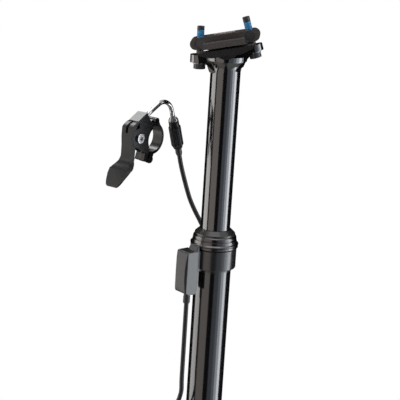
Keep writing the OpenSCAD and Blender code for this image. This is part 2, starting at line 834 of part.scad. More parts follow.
module sector(a0, a1, reach) {
  polygon(concat([[0, 0]], arc([0, 0], reach, a0, a1, 12)));
}

module ring_part(a0, a1) {
  plate(-band_w / 2, band_w / 2) intersection() {
    circle(r = band_r);
    sector(a0, a1, 3 * band_r);
  }
}

// A lug beside the split, on one side of it
module split_lug(side) {
  rotate([0, -split_angle, 0]) plate(-band_w / 2, band_w / 2)
    translate([bar_r + 0.6, side > 0 ? split_gap / 2 : -split_gap / 2 - lug_t]) square([lug_reach, lug_t]);
}

module clamp_bolt_frame() {
  ring_frame() rotate([0, -split_angle, 0]) translate([bar_r + lug_reach - 2.6, 0, 0]) children();
}

hinge_at = hinge_r * [cos(hinge_angle), sin(hinge_angle)];

// Holes for the bar and the hinge pin
module ring_holes() {
  ring_frame() {
    cross_rod(bar_r, -3 * band_w, 3 * band_w);
    translate([hinge_at[0], 0, hinge_at[1]]) cross_rod(hinge_d / 2 + fit, -band_w, band_w);
  }
}

module remote_bracket() {
  half = bracket_w / 2;
  knuckle_half = 2;
  color("#1a1a1c") difference() {
    union() {
      remote_frame() {
        plate(-half, half) bracket_block();
        for (side = [-1, 1]) plate(side > 0 ? half - cheek_t : -half,
          side > 0 ? half : cheek_t - half) bracket_cheek();
      }
      ring_frame() {
        ring_part(hinge_angle + 12, split_angle - 5);
        split_lug(-1);
        plate(-knuckle_half, knuckle_half) {
          translate(hinge_at) circle(r = knuckle_r);
          polygon([
            hinge_at + [0, knuckle_r], hinge_at - [0, knuckle_r - 0.2],
            band_r * [cos(hinge_angle + 16), sin(hinge_angle + 16)] - [0, 1],
            band_r * [cos(hinge_angle + 26), sin(hinge_angle + 26)]
          ]);
        }
      }
    }
    ring_holes();
    remote_frame() cross_rod(bar_r + 2 * room, -bracket_w, ring_y - band_w / 2);
    remote_frame() translate([pivot[0], 0, pivot[1]]) cross_rod(pivot_d / 2 + fit, -bracket_w, bracket_w);
    remote_point(wire_tangent, cable_rise) {
      rotate([0, 90, 0]) cylinder(d = wire_d + 4 * room, h = noodle_along);
      translate([noodle_along - noodle_sink, 0, 0]) rotate([0, 90, 0]) cylinder(
        d = noodle_d / cos(180 / noodle_sides) + 2 * fit, h = 2 * noodle_sink);
    }
    clamp_bolt_frame() rod(clamp_bolt_d / 2 + fit, -2 * lug_t, 2 * lug_t);
  }
}

module clamp_band() {
  knuckle_gap = 2.2;
  color("#161618") difference() {
    ring_frame() union() {
      ring_part(split_angle - 360 + 5, hinge_angle - 10);
      split_lug(1);
      for (side = [-1, 1]) plate(side > 0 ? knuckle_gap : -band_w / 2, side > 0 ? band_w / 2 : -knuckle_gap) {
        translate(hinge_at) circle(r = knuckle_r);
        polygon([
          hinge_at + [1, knuckle_r - 0.4], hinge_at - [-1, knuckle_r - 0.2],
          (bar_r + 0.6) * [cos(hinge_angle - 20), sin(hinge_angle - 20)],
          band_r * [cos(hinge_angle - 24), sin(hinge_angle - 24)]
        ]);
      }
    }
    ring_holes();
    clamp_bolt_frame() rod(clamp_bolt_d / 2 + 0.2, 0, 3 * lug_t);
  }
}

module band_hinge_pin() {
  color("#8d9096") ring_frame() translate([hinge_at[0], 0, hinge_at[1]]) cross_rod(hinge_d / 2,
    -band_w / 2, band_w / 2);
}

module clamp_bolt() {
  top = split_gap / 2 + lug_t;
  color("#b4b7bc") clamp_bolt_frame() difference() {
    union() {
      rod(clamp_bolt_d / 2, -top, top);
      rod(clamp_head_d / 2, top, top + 3.2);
    }
    translate([0, 0, top + 1.2]) cylinder(d = 3 / cos(30), h = 4, $fn = 6);
  }
}

// Pivot bolt along y through the cheeks, its socket head on the near side
module lever_pivot_bolt() {
  half = bracket_w / 2;
  color("#c4c6ca") remote_frame() translate([pivot[0], 0, pivot[1]]) difference() {
    union() {
      cross_rod(pivot_d / 2, -half, half);
      cross_rod(pivot_head_d / 2, -half - pivot_head_h, -half);
    }
    translate([0, -half - pivot_head_h - over, 0]) rotate([-90, 0, 0]) cylinder(d = 4 / cos(30), h = 2.6,
      $fn = 6);
  }
}

module lever_bushes() {
  color("#b58b45") remote_frame() translate([pivot[0], 0, pivot[1]]) difference() {
    cross_rod(bush_d / 2 - fit, -hub_w / 2, hub_w / 2);
    cross_rod(pivot_d / 2 + run, -hub_w, hub_w);
    cross_rod(bush_d, -0.4, 0.4);
  }
}

// Side outline of the lever: nose under the hood, head sector, arm and thumb paddle
module lever_side() {
  polygon(concat(
    arc(pivot, nose_r, nose_angle, drum_start, 5), arc(pivot, lever_head_r, drum_start, 138, 10),
    [for (q = [
      [-11.2, 2], [-10.6, -6], [-10.8, -13], [-11.2, -15.6], [-12.3, -18.4], [-14.6, -21.2], [-19.2, -24.8],
      [-23.2, -31], [-26.6, -36.2], [-27.3, -37.8], [-26.8, -38.8], [-25.4, -38.4], [-21.8, -33], [-18.4,
      -29.2],
      [-15.2, -26.6], [-11.4, -24], [-8, -20.6], [-6.2, -17], [-5.4, -13], [-5.4, -8]
    ]) pivot + q],
    arc(pivot, hub_out, 225, 448, 16)
  ));
}

// Front outline of the lever: half widths at heights measured from the pivot
module lever_front() {
  half = lever_w / 2;
  edge = [
    [half, 2 * lever_head_r], [half, -8], [half - 0.1, -15], [half + 0.8, -19], [half + 2.8, -22],
    [half + 4.4, -25],
    [half + 4.2, -29], [half + 2.6, -34], [half + 1, -37.2], [half - 1.4, -40]
  ];
  polygon(concat(edge, [for (i = [len(edge) - 1 : -1 : 0]) [-edge[i][0], edge[i][1]]]));
}

module thumb_lever() {
  nipple_r = remote_nipple_d / 2;
  slot_in = drum_r - 1.4;
  wide = 2 * lever_w;
  color("#333436") remote_frame() difference() {
    intersection() {
      plate(-wide, wide) lever_side();
      translate([-4 * pivot_p, 0, pivot[1]]) rotate([90, 0, 90]) linear_extrude(4 * pivot_p) lever_front();
    }
    for (side = [-1, 1]) plate(side > 0 ? hub_w / 2 : -wide, side > 0 ? wide : -hub_w / 2)
      translate(pivot) circle(r = cheek_cut);
    translate([pivot[0], 0, pivot[1]]) {
      cross_rod(bush_d / 2, -wide, wide);
      rotate([0, -nipple_angle, 0]) translate([drum_r - nipple_r - room, -wide, -nipple_r - room])
        cube([2 * nipple_r + 4 * room, wide + 4, 2 * nipple_r + 2 * room]);
    }
    plate(-lever_slot_w / 2, lever_slot_w / 2) polygon(concat(
      [pivot + slot_in * [cos(60), sin(60)]], arc(pivot, lever_head_r + 4, 60, 156, 10),
      [pivot + slot_in * [cos(156), sin(156)], pivot + slot_in * [cos(104), sin(104)]]
    ));
  }
}

noodle_bore_end = 9;

module remote_wire() {
  reach = noodle_along - nipple_ahead + noodle_bore_end - 1;
  nipple_half = hub_w / 2 - 0.1;
  color("#c2c5ca") {
    remote_frame() translate([nipple_at[0], 0, nipple_at[1]]) cross_rod(remote_nipple_d / 2, -nipple_half, nipple_half);
    remote_point(nipple_at, cable_rise) rotate([0, 90, 0]) cylinder(d = wire_d, h = reach);
  }
}

// Path of the noodle from its start along x, with a bend downwards
noodle_bent = [noodle_leg + noodle_bend * sin(noodle_turn), 0, noodle_bend * (cos(noodle_turn) - 1)];
noodle_path = concat(
  [[-noodle_sink, 0, 0], [6, 0, 0]],
  [for (a = [0 : noodle_turn / 14 : noodle_turn]) [noodle_leg + noodle_bend * sin(a), 0,
  noodle_bend * (cos(a) - 1)]],
  [for (part = [0.5, 1]) noodle_bent + part * noodle_tail * [cos(noodle_turn), 0, -sin(noodle_turn)]]
);

module cable_noodle() {
  color("#d5d7da") remote_point(noodle_start, cable_rise) difference() {
    swept(noodle_path, noodle_d, noodle_sides);
    translate([-noodle_sink - over, 0, 0]) rotate([0, 90, 0])
      cylinder(d = noodle_bore, h = noodle_sink + over + noodle_bore_end);
  }
}

// Frame at the end of the noodle, with z down along the adjuster
module adjuster_frame() {
  remote_point(noodle_start, cable_rise) translate([noodle_leg, 0, -noodle_bend]) rotate([0, noodle_turn, 0])
    translate([0, 0, noodle_bend]) rotate([0, 90, 0]) translate([0, 0, noodle_tail]) children();
}

module noodle_cup() {
  color("#d9dadb") adjuster_frame() rotate_extrude() polygon([
    [noodle_d / 2 + fit, -6.4], [noodle_d / 2 + 0.9, -6.4], [cup_d / 2 - 0.3, -4.4], [cup_d / 2, -3.8],
    [cup_d / 2, -3.2], [noodle_d / 2 + fit, -3.2]
  ]);
}

// Adjuster barrel: a slim neck, a long ribbed grip and a tapered lower end
module adjuster_barrel() {
  ribs = 16;
  neck = 1.4;
  grip_low = barrel_len - 3.6;
  color("#151517") adjuster_frame() difference() {
    rotate_extrude() polygon([
      [noodle_d / 2 + run, -2.9], [barrel_d / 2 - 0.4, -2.9], [barrel_d / 2, -2.4], [barrel_d / 2, neck],
      [barrel_grip_d / 2 - 0.5, neck + 1], [barrel_grip_d / 2, neck + 1.8], [barrel_grip_d / 2, grip_low],
      [barrel_grip_d / 2 - 1, grip_low + 1.7], [boot_d / 2 + 0.9, barrel_len], [housing_d / 2 + room,
      barrel_len],
      [housing_d / 2 + room, 4], [noodle_d / 2 + run, 4]
    ]);
    for (i = [0 : ribs - 1]) rotate([0, 0, 360 * i / ribs]) translate([barrel_grip_d / 2 + 0.35, 0, neck + 1])
      cylinder(r = 0.8, h = grip_low - neck);
  }
}

module adjuster_boot() {
  color("#1b1b1d") adjuster_frame() rotate_extrude() polygon([
    [housing_d / 2 + 0.12, barrel_len + room], [boot_d / 2, barrel_len + room], [boot_d / 2,
    barrel_len + boot_len - 2],
    [boot_d / 2 - 0.5, barrel_len + boot_len], [housing_d / 2 + 0.12, barrel_len + boot_len]
  ]);
}

// Cable housing

// Smooth curve through points, with a straight start and end
function spline(a, b, c, d, t) = 0.5 * (2 * b + (c - a) * t + (2 * a - 5 * b + 4 * c - d) * t * t
  + (3 * b - a - 3 * c + d) * t * t * t);
function at(points, i) = i < 0 ? 2 * points[0] - points[1]
  : i >= len(points) ? 2 * points[len(points) - 1] - points[len(points) - 2] : points[i];
function smooth(points, pitch) = concat([
  for (i = [0 : len(points) - 2])
    let (steps = max(1, round(norm(points[i + 1] - points[i]) / pitch)))
      for (j = [0 : steps - 1])
        spline(at(points, i - 1), points[i], points[i + 1], at(points, i + 2), j / steps)
], [points[len(points) - 1]]);

function unit(v) = v / norm(v);
function heading(path, i) = unit(path[min(i + 1, len(path) - 1)] - path[max(i - 1, 0)]);

// A closed round tube swept along a path that never runs along y
module swept(path, d, sides) {
  n = len(path);
  ring = [for (i = [0 : n - 1])
    let (t = heading(path, i), u = unit(cross(t, [0, 1, 0])), v = cross(t, u))
      for (k = [0 : sides - 1]) path[i] + d / 2 * (cos(360 * k / sides) * u + sin(360 * k / sides) * v)];
  walls = [for (i = [0 : n - 2], k = [0 : sides - 1])
    let (a = i * sides + k, b = i * sides + (k + 1) % sides) each [[a, b, b + sides], [a, b + sides,
      a + sides]]];
  last = (n - 1) * sides;
  caps = [for (k = [1 : sides - 2]) each [[0, k + 1, k], [last, last + k, last + k + 1]]];
  polyhedron(points = ring, faces = concat(walls, caps), convexity = 10);
}

// Coil: loops that spiral in on one layer, climb in the reversing half turn and spiral out on the next
coil_total = 2 * coil_turns;
function coil_ease(x) = x <= 0 ? 0 : x >= 1 ? 1 : x * x * (3 - 2 * x);
function coil_point(t) =
  let (r = coil_r - coil_step * min(t, coil_total - t), a = 180 + 360 * t)
    coil_centre + [r * cos(a), coil_layer * coil_ease(2 * (t - coil_turns) + 0.5), r * sin(a)];
coil_path = concat(
  [coil_point(0) + [0, 0, housing_d]],
  [for (i = [0 : rings_per_loop * coil_total]) coil_point(i / rings_per_loop)],
  [coil_point(coil_total) + [0, 0, housing_d]]
);

// Least gap between loops, measured on the coil's own points
coil_gap = min([
  for (i = [0 : len(coil_path) - 1], j = [i + rings_per_loop / 2 : 1 : len(coil_path) - 1])
    norm(coil_path[i] - coil_path[j])
]) - housing_d;
function length_of(path) =
  [for (i = [1 : len(path) - 1]) norm(path[i] - path[i - 1])] * [for (i = [1 : len(path) - 1]) 1];
echo(coil_gap = coil_gap, coil_length = length_of(coil_path));

module housing_drop() {
  color("#1c1c1e") swept(smooth(drop_points, 10), housing_d, cord_sides);
}

module housing_coil() {
  color("#1c1c1e") swept(coil_path, housing_d, coil_sides);
}

module housing_rise() {
  color("#1c1c1e") swept(smooth(rise_points, 10), housing_d, cord_sides);
}

// Tie: a flat band round the bundle of loops at the foot of the coil
module coil_tie() {
  bundle = coil_step * (coil_turns - 0.25);
  inner_h = bundle + housing_d + 2 * room;
  inner_d = coil_layer + housing_d + 2 * room;
  tie_w = 5;
  tie_t = 1.2;
  color("#232325") translate(coil_centre + [0, coil_layer / 2,
    -coil_r + coil_step / 4 + bundle / 2]) difference() {
    cube([tie_w, inner_d + 2 * tie_t, inner_h + 2 * tie_t], center = true);
    cube([tie_w + 2 * over, inner_d, inner_h], center = true);
  }
}

outer_tube();
bottom_cap();
collar_sleeve();
collar_nut();
wiper_seal();
upper_bushing();
pod_cover();
crank_pin();
pod_ferrule();
piston_rod();
piston();
piston_seal();
rocker_pin();
remote_bracket();
clamp_band();
band_hinge_pin();
clamp_bolt();
lever_pivot_bolt();
cable_noodle();
noodle_cup();
adjuster_boot();
housing_drop();
housing_coil();
housing_rise();
coil_tie();
stanchion();
lower_bushing();
guide_keys();
cartridge_tube();
seal_head();
cartridge_cap();
floating_piston();
retaining_ring();
front_bolt();
rear_bolt();
bolt_washers();
lower_cradle();
upper_yoke();
front_barrel_nut();
rear_barrel_nut();
thumb_lever();
lever_bushes();
remote_wire();
bell_crank();
pod_wire();
pull_strip();
foot_rocker();
valve_pin();
adjuster_barrel();
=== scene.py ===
import math

import bmesh
import bpy
from mathutils import Matrix, Vector


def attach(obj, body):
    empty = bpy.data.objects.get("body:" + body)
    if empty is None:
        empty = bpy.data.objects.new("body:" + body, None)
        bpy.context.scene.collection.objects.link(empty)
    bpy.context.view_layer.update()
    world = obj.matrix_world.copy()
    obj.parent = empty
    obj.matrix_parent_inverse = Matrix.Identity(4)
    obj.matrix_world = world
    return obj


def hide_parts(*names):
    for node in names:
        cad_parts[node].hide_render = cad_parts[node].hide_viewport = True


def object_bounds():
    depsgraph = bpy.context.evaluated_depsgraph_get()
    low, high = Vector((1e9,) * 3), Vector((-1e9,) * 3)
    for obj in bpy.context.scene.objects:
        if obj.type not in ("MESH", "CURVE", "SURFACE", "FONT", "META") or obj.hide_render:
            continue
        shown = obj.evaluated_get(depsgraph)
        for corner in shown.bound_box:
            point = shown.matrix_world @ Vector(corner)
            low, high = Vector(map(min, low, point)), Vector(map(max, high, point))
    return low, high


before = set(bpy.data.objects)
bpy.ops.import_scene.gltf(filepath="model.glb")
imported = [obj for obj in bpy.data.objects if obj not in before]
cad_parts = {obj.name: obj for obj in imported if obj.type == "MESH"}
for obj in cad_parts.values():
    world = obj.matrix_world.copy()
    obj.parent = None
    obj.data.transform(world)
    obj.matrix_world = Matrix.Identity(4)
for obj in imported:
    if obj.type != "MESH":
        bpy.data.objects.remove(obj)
cad_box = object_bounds()

# Camera: a long lens a little above the collar and left of the saddle clamp, rolled so that the post
# leans to the right as it rises. The picture is square.
camera_azimuth = math.radians(-8.0)
camera_elevation = math.radians(14.0)
camera_roll = math.radians(3.6)
camera_distance = 1.197
focal_pixels = 1396.8
picture_pixels = 400
axis_point = Vector((0.0, 0.0, 0.0613))
axis_pixels_right = 17.1

back = Vector((
    math.sin(camera_azimuth) * math.cos(camera_elevation),
    -math.cos(camera_azimuth) * math.cos(camera_elevation),
    math.sin(camera_elevation),
))
level_right = Vector((math.cos(camera_azimuth), math.sin(camera_azimuth), 0.0))
level_up = back.cross(level_right)
picture_right = level_right * math.cos(camera_roll) + level_up * math.sin(camera_roll)
picture_up = level_up * math.cos(camera_roll) - level_right * math.sin(camera_roll)
aim = axis_point - picture_right * (axis_pixels_right / focal_pixels * camera_distance)
lens = bpy.data.cameras.new("post_camera")
lens.sensor_width = 36.0
lens.lens = lens.sensor_width * focal_pixels / picture_pixels
camera = bpy.data.objects.new("post_camera", lens)
bpy.context.collection.objects.link(camera)
turn = Matrix((picture_right, picture_up, back)).transposed()
camera.matrix_world = Matrix.Translation(aim + back * camera_distance) @ turn.to_4x4()
bpy.context.scene.camera = camera
bpy.context.scene.view_settings.view_transform = "Standard"

# Cable housing: one length of 4 mm plastic-covered bowden housing. It hangs from the pod's ferrule, its
# spare length lies in a tied coil behind the post, and it rises behind the post to the adjuster.
housing_diameter = 0.004
drop_points = [
    (-23, -14.4, -26), (-23, -14.4, -60), (-23, -14.4, -95), (-23, -14.4, -110), (-27, -8.5, -124),
    (-38.5, 8, -139), (-50, 24.3, -153), (-53.4, 29.2, -160), (-54, 30, -167),
]
rise_points = [
    (8, 34.6, -167), (8, 34.6, -158), (8, 34.6, -100), (8, 34.6, -50), (7.5, 35, -15), (5, 37, 3),
    (-1, 39.5, 18), (-7.2, 41.4, 30.3), (-13.1, 42.4, 40.9), (-18.3, 42.6, 51.9), (-23.9, 41.6, 68.4),
    (-27.98, 40, 82.2), (-29.94, 38.06, 90.23), (-33.63, 34.37, 105.36),
]
coil_centre = Vector((-23, 30, -171))
coil_radius = 31
coil_step = 4.5
coil_layer = 4.6
coil_turns = 3.25
loop_points = 48
route_pitch = 3
millimetre = 0.001


def smooth_route(points, pitch):
    """Points of a smooth curve through the given ones, about pitch apart, straight at both ends."""
    route = [Vector(p) for p in points]
    ends = [2 * route[0] - route[1], *route, 2 * route[-1] - route[-2]]
    made = []
    for i in range(len(route) - 1):
        a, b, c, d = ends[i:i + 4]
        steps = max(1, round((c - b).length / pitch))
        for j in range(steps):
            t = j / steps
            made.append(0.5 * (2 * b + (c - a) * t + (2 * a - 5 * b + 4 * c - d) * t * t
                               + (3 * b - a - 3 * c + d) * t ** 3))
    return [*made, route[-1]]


def coil_point(turns):
    """A point of the coil: it spirals in on one layer, climbs as it reverses and spirals out on the next."""
    total = 2 * coil_turns
    radius = coil_radius - coil_step * min(turns, total - turns)
    climb = min(max(2 * (turns - coil_turns) + 0.5, 0), 1)
    angle = math.pi + 2 * math.pi * turns
    lift = coil_layer * climb * climb * (3 - 2 * climb)
    return coil_centre + Vector((radius * math.cos(angle), lift, radius * math.sin(angle)))


coil_count = round(loop_points * 2 * coil_turns)
housing_route = [
    *smooth_route(drop_points, route_pitch)[:-1],
    *(coil_point(i / loop_points) for i in range(coil_count + 1)),
    *smooth_route(rise_points, route_pitch)[1:],
]
housing_route = [p * millimetre for p in housing_route]
housing_curve = bpy.data.curves.new("cable_housing", "CURVE")
housing_curve.dimensions = "3D"
housing_curve.bevel_depth = housing_diameter / 2
housing_curve.bevel_resolution = 5
housing_curve.use_fill_caps = True
housing_spline = housing_curve.splines.new("POLY")
housing_spline.points.add(len(housing_route) - 1)
for spot, place in zip(housing_spline.points, housing_route):
    spot.co = (*place, 1.0)
housing_spline.use_smooth = True
housing = bpy.data.objects.new("cable_housing", housing_curve)
bpy.context.collection.objects.link(housing)


def finish(name, colour, roughness, metallic=0.0, ior=1.5, coat=0.0, mottle=0.25, mottle_scale=900.0,
           grain=0.0, grain_scale=2500.0, grain_depth=0.00004):
    """A surface finish: a base colour broken up a little, uneven roughness and a fine grain in relief."""
    made = bpy.data.materials.new(name)
    made.use_nodes = True
    nodes, links = made.node_tree.nodes, made.node_tree.links
    shader = nodes["Principled BSDF"]
    shader.inputs["Metallic"].default_value = metallic
    shader.inputs["IOR"].default_value = ior
    shader.inputs["Coat Weight"].default_value = coat
    shader.inputs["Coat Roughness"].default_value = 0.06
    place = nodes.new("ShaderNodeTexCoord")
    cloud = nodes.new("ShaderNodeTexNoise")
    cloud.inputs["Scale"].default_value = mottle_scale
    cloud.inputs["Detail"].default_value = 5.0
    links.new(place.outputs["Object"], cloud.inputs["Vector"])
    tint = nodes.new("ShaderNodeMix")
    tint.data_type = "RGBA"
    links.new(cloud.outputs["Fac"], tint.inputs["Factor"])
    tint.inputs["A"].default_value = (*(c * (1 - mottle) for c in colour), 1.0)
    tint.inputs["B"].default_value = (*(min(c * (1 + mottle), 1.0) for c in colour), 1.0)
    links.new(tint.outputs["Result"], shader.inputs["Base Color"])
    uneven = nodes.new("ShaderNodeMapRange")
    uneven.inputs["To Min"].default_value = roughness * 0.8
    uneven.inputs["To Max"].default_value = min(roughness * 1.2, 1.0)
    links.new(cloud.outputs["Fac"], uneven.inputs["Value"])
    links.new(uneven.outputs["Result"], shader.inputs["Roughness"])
    if grain:
        pits = nodes.new("ShaderNodeTexNoise")
        pits.inputs["Scale"].default_value = grain_scale
        pits.inputs["Detail"].default_value = 3.0
        links.new(place.outputs["Object"], pits.inputs["Vector"])
        relief = nodes.new("ShaderNodeBump")
        relief.inputs["Strength"].default_value = grain
        relief.inputs["Distance"].default_value = grain_depth
        links.new(pits.outputs["Fac"], relief.inputs["Height"])
        links.new(relief.outputs["Normal"], shader.inputs["Normal"])
    return made


housing_black = finish("housing_black", (0.007, 0.007, 0.0075), 0.36, ior=1.42, mottle_scale=500.0, grain=0.25)
housing_curve.materials.append(housing_black)
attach(housing, "outer_post")
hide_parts("housing_drop", "housing_coil", "housing_rise")


def coat_piece(surface, *names):
    """Give CAD pieces that are shown as they are their surface finish."""
    for name in names:
        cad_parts[name].data.materials.clear()
        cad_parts[name].data.materials.append(surface)


tie_black = finish("tie_black", (0.014, 0.014, 0.015), 0.45, grain=0.3)
coat_piece(tie_black, "coil_tie")

# Outer tube: drawn aluminium, black anodised and polished to a mirror gloss, plugged at the foot by a cap.
# The tube's edges are broken and its rings of facets smoothed, and so it is with every dressed piece below.


def keep(piece, body, slot, *nodes):
    """Bake a piece's modifiers into its mesh, and let it ride on a body in the place of CAD pieces."""
    graph = bpy.context.evaluated_depsgraph_get()
    baked = bpy.data.meshes.new_from_object(piece.evaluated_get(graph))
    piece.modifiers.clear()
    piece.data = baked
    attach(piece, body)
    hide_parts(*nodes)


def dressed(node, body, slot, surface, edge=0.0003, crease=50.0, weld=0.000002, outside_only=False,
            hub=(0, 0, 0), hub_radius=0.0):
    """A copy of a CAD piece with its flat faces joined up and its edges rounded, shown in the piece's place.

    Vertices nearer than weld are merged first. Edges within hub_radius of hub stay sharp, where a pocket leaves no
    room for a round edge, and outside_only rounds outward corners alone. Each chain of edges is rounded by itself,
    so that one small hole doesn't limit the rest. Corners that stay sharper than crease degrees are shaded crisp."""
    flat_angle, corner_angle = math.radians(0.5), math.radians(28.0)
    speck = 0.000002
    shape = bmesh.new()
    shape.from_mesh(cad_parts[node].data)
    bmesh.ops.remove_doubles(shape, verts=shape.verts, dist=weld)
    bmesh.ops.dissolve_limit(shape, angle_limit=flat_angle, verts=shape.verts, edges=shape.edges)
    sharp = [e for e in shape.edges if e.is_manifold and e.calc_face_angle(0.0) > corner_angle
             and max((v.co - Vector(hub)).length for v in e.verts) >= hub_radius
             and (e.is_convex or not outside_only)]
    while sharp:
        chain = [sharp.pop()]
        ends = set(chain[0].verts)
        joined = chain
        while joined:
            joined = [e for e in sharp if ends.intersection(e.verts)]
            sharp = [e for e in sharp if not ends.intersection(e.verts)]
            chain.extend(joined)
            ends.update(v for e in joined for v in e.verts)
        bmesh.ops.bevel(shape, geom=chain, offset=edge, segments=2, profile=0.6, affect="EDGES",
                        clamp_overlap=not outside_only)
        sharp = [e for e in sharp if e.is_valid]
    bmesh.ops.remove_doubles(shape, verts=shape.verts, dist=speck)
    bmesh.ops.dissolve_degenerate(shape, edges=shape.edges, dist=speck)
    for face in shape.faces:
        face.smooth = True
    for side in shape.edges:
        side.smooth = side.calc_face_angle(0.0) < math.radians(crease)
    mesh = bpy.data.meshes.new(node + "_dressed")
    shape.to_mesh(mesh)
    shape.free()
    mesh.materials.append(surface)
    piece = bpy.data.objects.new(node + "_dressed", mesh)
    bpy.context.collection.objects.link(piece)
    even = piece.modifiers.new("even_normals", "WEIGHTED_NORMAL")
    even.weight = 80
    even.keep_sharp = True
    keep(piece, body, slot, node)
    return piece


tube_black = finish("tube_black", (0.003, 0.003, 0.0035), 0.14, ior=1.9, coat=0.15, mottle=0.15)
dressed("outer_tube", "outer_post", "black_tube", tube_black, edge=0.0002)
cap_grey = finish("cap_grey", (0.3, 0.3, 0.31), 0.35, metallic=1.0)
coat_piece(cap_grey, "bottom_cap")

# Works inside the tubes: a gas cartridge with its piston, rod and valve pin, plastic bushings, brass keys
# and the strip and rocker that carry the lever's pull down to the valve. All turned, pressed or moulded.
cartridge_silver = finish("cartridge_silver", (0.55, 0.56, 0.58), 0.3, metallic=1.0)
coat_piece(cartridge_silver, "cartridge_tube", "seal_head", "cartridge_cap", "floating_piston", "retaining_ring")
bright_steel = finish("bright_steel", (0.62, 0.62, 0.63), 0.2, metallic=1.0, mottle=0.12, mottle_scale=400.0)
coat_piece(bright_steel, "piston_rod", "piston", "valve_pin", "foot_rocker", "rocker_pin", "pull_strip")
coat_piece(bright_steel, "bell_crank", "crank_pin", "pod_wire")
seal_rubber = finish("seal_rubber", (0.006, 0.006, 0.006), 0.6)
coat_piece(seal_rubber, "piston_seal")
bush_green = finish("bush_green", (0.08, 0.11, 0.09), 0.5, grain=0.2)
coat_piece(bush_green, "upper_bushing", "lower_bushing")
key_brass = finish("key_brass", (0.62, 0.44, 0.16), 0.28, metallic=1.0)
coat_piece(key_brass, "guide_keys", "lever_bushes")

# Collar: a satin black sleeve bonded to the tube, and a screwed nut of dark polished aluminium that holds
# the bushing. A rubber wiper sits in the nut's mouth and closes on the stanchion.
sleeve_black = finish("sleeve_black", (0.009, 0.009, 0.0095), 0.24, ior=1.8, mottle=0.3, grain=0.35,
                      grain_scale=1800.0)
dressed("collar_sleeve", "outer_post", "black_collar", sleeve_black, edge=0.0003)
nut_grey = finish("nut_grey", (0.125, 0.121, 0.121), 0.22, metallic=1.0, mottle=0.2)
dressed("collar_nut", "outer_post", "black_collar", nut_grey, edge=0.00012)
wiper_rubber = finish("wiper_rubber", (0.012, 0.012, 0.012), 0.26, ior=1.6, grain=0.2)
dressed("wiper_seal", "outer_post", "wiper_rubber", wiper_rubber, edge=0.00015)

# Cable pod: a moulded cover of grained black plastic that clips to the collar's arm over the bell crank,
# and a ribbed plastic ferrule that takes the end of the housing. The cover's two flanks have a coarser grain, and
# their base colour is painted ten times lighter: painted light, standing in for the light the flanks catch.
pod_side = Vector((0.53, -0.848, 0))
pod_body_top = 0.0202
square_on = 0.97
pod_plastic = finish("pod_plastic", (0.009, 0.0094, 0.0094), 0.33, ior=1.46, mottle=0.35, mottle_scale=1500.0,
                     grain=0.6, grain_scale=2200.0, grain_depth=0.00006)
pod = dressed("pod_cover", "outer_post", "pod_plastic", pod_plastic, edge=0.0006, weld=0.00012, outside_only=True)
# The flanks' finish: the same black plastic with a much lighter base colour, painted light for the light they catch.
pod_flank_painted_light = finish("pod_flank_painted_light", (0.09, 0.095, 0.095), 0.33, ior=1.5, mottle=0.35, mottle_scale=1500.0, grain=0.7,
                   grain_scale=1500.0)
pod.data.materials.append(pod_flank_painted_light)
# Faces square to either flank get the lighter base colour, which is painted light.
for face in pod.data.polygons:
    if abs(face.normal.dot(pod_side)) > square_on and face.center.z < pod_body_top:
        face.material_index = 1
ferrule_black = finish("ferrule_black", (0.014, 0.014, 0.015), 0.42, grain=0.2)
dressed("pod_ferrule", "outer_post", "pod_plastic", ferrule_black, edge=0.00012)

# Stanchion: one piece from the sliding tube to the forged head. It is black anodised like the tube, and
# polished brighter, because the bushings and the wiper run on it.
stanchion_black = finish("stanchion_black", (0.003, 0.003, 0.0035), 0.13, ior=2.15, coat=0.15, mottle=0.15)
dressed("stanchion", "upper_post", "black_tube", stanchion_black, edge=0.0006, crease=78.0)

# Clamp bolts: M6 socket screws with black oxide on them, set up through the head's ears into the barrel nuts.
# Their threads are rolled, and a blue thread-locking patch covers the lower part of the thread in sight.
rail_height = 0.1957
head_turn = math.radians(-11.0)
head_tilt = math.radians(12.5)
head_place = (Matrix.Translation((0, 0, rail_height)) @ Matrix.Rotation(head_turn, 4, "Z")
              @ Matrix.Rotation(-head_tilt, 4, "Y"))
bolt_radius = 0.003
bolt_pitch = 0.001
thread_proud = 0.00016
thread_gap = 0.0006
thread_crest = 0.00026
patch_crest = 0.0006
bolt_black = finish("bolt_black", (0.02, 0.02, 0.021), 0.38, mottle=0.6, mottle_scale=1400.0)
lock_blue = finish("lock_blue", (0.015, 0.27, 0.62), 0.5, mottle=0.75, mottle_scale=700.0, grain=0.8,
                   grain_scale=1500.0)
thread_maker = bpy.data.node_groups.new("thread_maker", "GeometryNodeTree")
thread_maker.interface.new_socket("Thread", in_out="OUTPUT", socket_type="NodeSocketGeometry")
thread_inputs = {}
for label, kind in (("Turns", "Float"), ("Pitch", "Float"), ("Radius", "Float"), ("Crest", "Float"),
                    ("Finish", "Material")):
    made = thread_maker.interface.new_socket(label, in_out="INPUT", socket_type="NodeSocket" + kind)
    thread_inputs[label] = made.identifier
given = thread_maker.nodes.new("NodeGroupInput")
handed = thread_maker.nodes.new("NodeGroupOutput")
helix = thread_maker.nodes.new("GeometryNodeCurveSpiral")
helix.inputs["Resolution"].default_value = 20
rise = thread_maker.nodes.new("ShaderNodeMath")
rise.operation = "MULTIPLY"
crest = thread_maker.nodes.new("GeometryNodeCurvePrimitiveCircle")
crest.inputs["Resolution"].default_value = 6
ridge = thread_maker.nodes.new("GeometryNodeCurveToMesh")
ridge.inputs["Fill Caps"].default_value = True
painted = thread_maker.nodes.new("GeometryNodeSetMaterial")
wires = thread_maker.links
wires.new(given.outputs["Turns"], helix.inputs["Rotations"])
wires.new(given.outputs["Radius"], helix.inputs["Start Radius"])
wires.new(given.outputs["Radius"], helix.inputs["End Radius"])
wires.new(given.outputs["Turns"], rise.inputs[0])
wires.new(given.outputs["Pitch"], rise.inputs[1])
wires.new(rise.outputs["Value"], helix.inputs["Height"])
